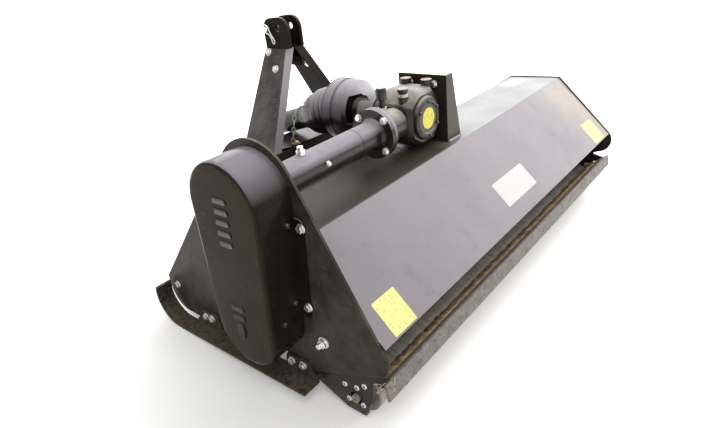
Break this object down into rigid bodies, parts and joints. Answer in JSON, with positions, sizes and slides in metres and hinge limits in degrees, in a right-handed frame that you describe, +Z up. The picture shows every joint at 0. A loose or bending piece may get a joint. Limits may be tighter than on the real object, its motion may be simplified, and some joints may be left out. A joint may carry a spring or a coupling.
{
  "type": "hammer knife mower",
  "caption": "Tractor three-point flail mower: black hood on skids and rear roller, side belt cover, gearbox on top, hammer rotor that spins inside.",
  "frame": {"origin": "on the ground under the middle of the machine's bounding box, as it stands parked on its roller and skids", "axes": "+X to the machine's right seen from behind, +Y forward to the tractor, +Z up"},
  "size_m": [1.944, 1.087, 0.9001],
  "materials": {
    "black_paint": "satin gloss black paint on sheet steel",
    "hood_paint": "gloss black paint with dust",
    "cast_paint": "satin black paint on cast iron",
    "guard_plastic": "moulded black plastic",
    "curtain_rubber": "matte black rubber sheet",
    "scraper_steel": "worn grey painted steel",
    "worn_steel": "bare steel, worn and soiled",
    "zinc_plate": "bright zinc plate"
  },
  "bodies": {
    "frame": {"a_frame_leg_left": "black_paint", "a_frame_leg_right": "black_paint", "belt_cover": "black_paint", "curtain_bar": "black_paint", "drive_tube": "hood_paint", "driveline_cover": "guard_plastic", "front_curtain": "curtain_rubber", "gearbox_bracket": "black_paint", "gearbox_breather": "guard_plastic", "gearbox_cap": "cast_paint", "gearbox_case": "cast_paint", "gearbox_filler": "guard_plastic", "gearbox_input": "cast_paint", "gearbox_output": "cast_paint", "guard_chain": "zinc_plate", "hitch_beam": "black_paint", "hood": "hood_paint", "lower_link_pin_left": "zinc_plate", "lower_link_pin_right": "zinc_plate", "lower_link_plate_left_inner": "black_paint", "lower_link_plate_left_outer": "black_paint", "lower_link_plate_right_inner": "black_paint", "lower_link_plate_right_outer": "black_paint", "pto_guard": "guard_plastic", "roller_bearing_left": "cast_paint", "roller_bearing_right": "cast_paint", "roller_bracket_left": "black_paint", "roller_bracket_right": "black_paint", "rotor_bearing_right": "cast_paint", "scraper_bar": "scraper_steel", "side_plate_left": "black_paint", "side_plate_right": "black_paint", "skid_left": "black_paint", "skid_right": "black_paint", "top_link_bracket": "black_paint", "top_link_pin": "zinc_plate", "tube_plug": "zinc_plate"},
    "rotor": {"rotor": "worn_steel"},
    "roller": {"roller": "worn_steel"},
    "input_shaft": {"input_shaft": "worn_steel"},
    "driveline_shaft": {"driveline_shaft": "worn_steel"}
  },
  "joints": [
    {"name": "rotor_spin", "type": "hinge", "parent": "frame", "child": "rotor", "pos_m": [0.0285, -0.13994, 0.24567], "axis": [1, 0, 0], "continuous": true},
    {"name": "roller_spin", "type": "hinge", "parent": "frame", "child": "roller", "pos_m": [0.0285, -0.41907, 0.06181], "axis": [1, 0, 0], "continuous": true},
    {"name": "input_spin", "type": "hinge", "parent": "frame", "child": "input_shaft", "pos_m": [-0.1495, 0.22356, 0.58545], "axis": [0, 0.997, -0.0777], "continuous": true},
    {"name": "driveline_spin", "type": "hinge", "parent": "frame", "child": "driveline_shaft", "pos_m": [-0.1495, 0.18169, 0.58872], "axis": [0, 0.9369, -0.3495], "continuous": true}
  ],
  "couplings": [
    {"joint": "input_spin", "follows": "rotor_spin", "ratio": 0.27},
    {"joint": "driveline_spin", "follows": "rotor_spin", "ratio": 0.27}
  ]
}
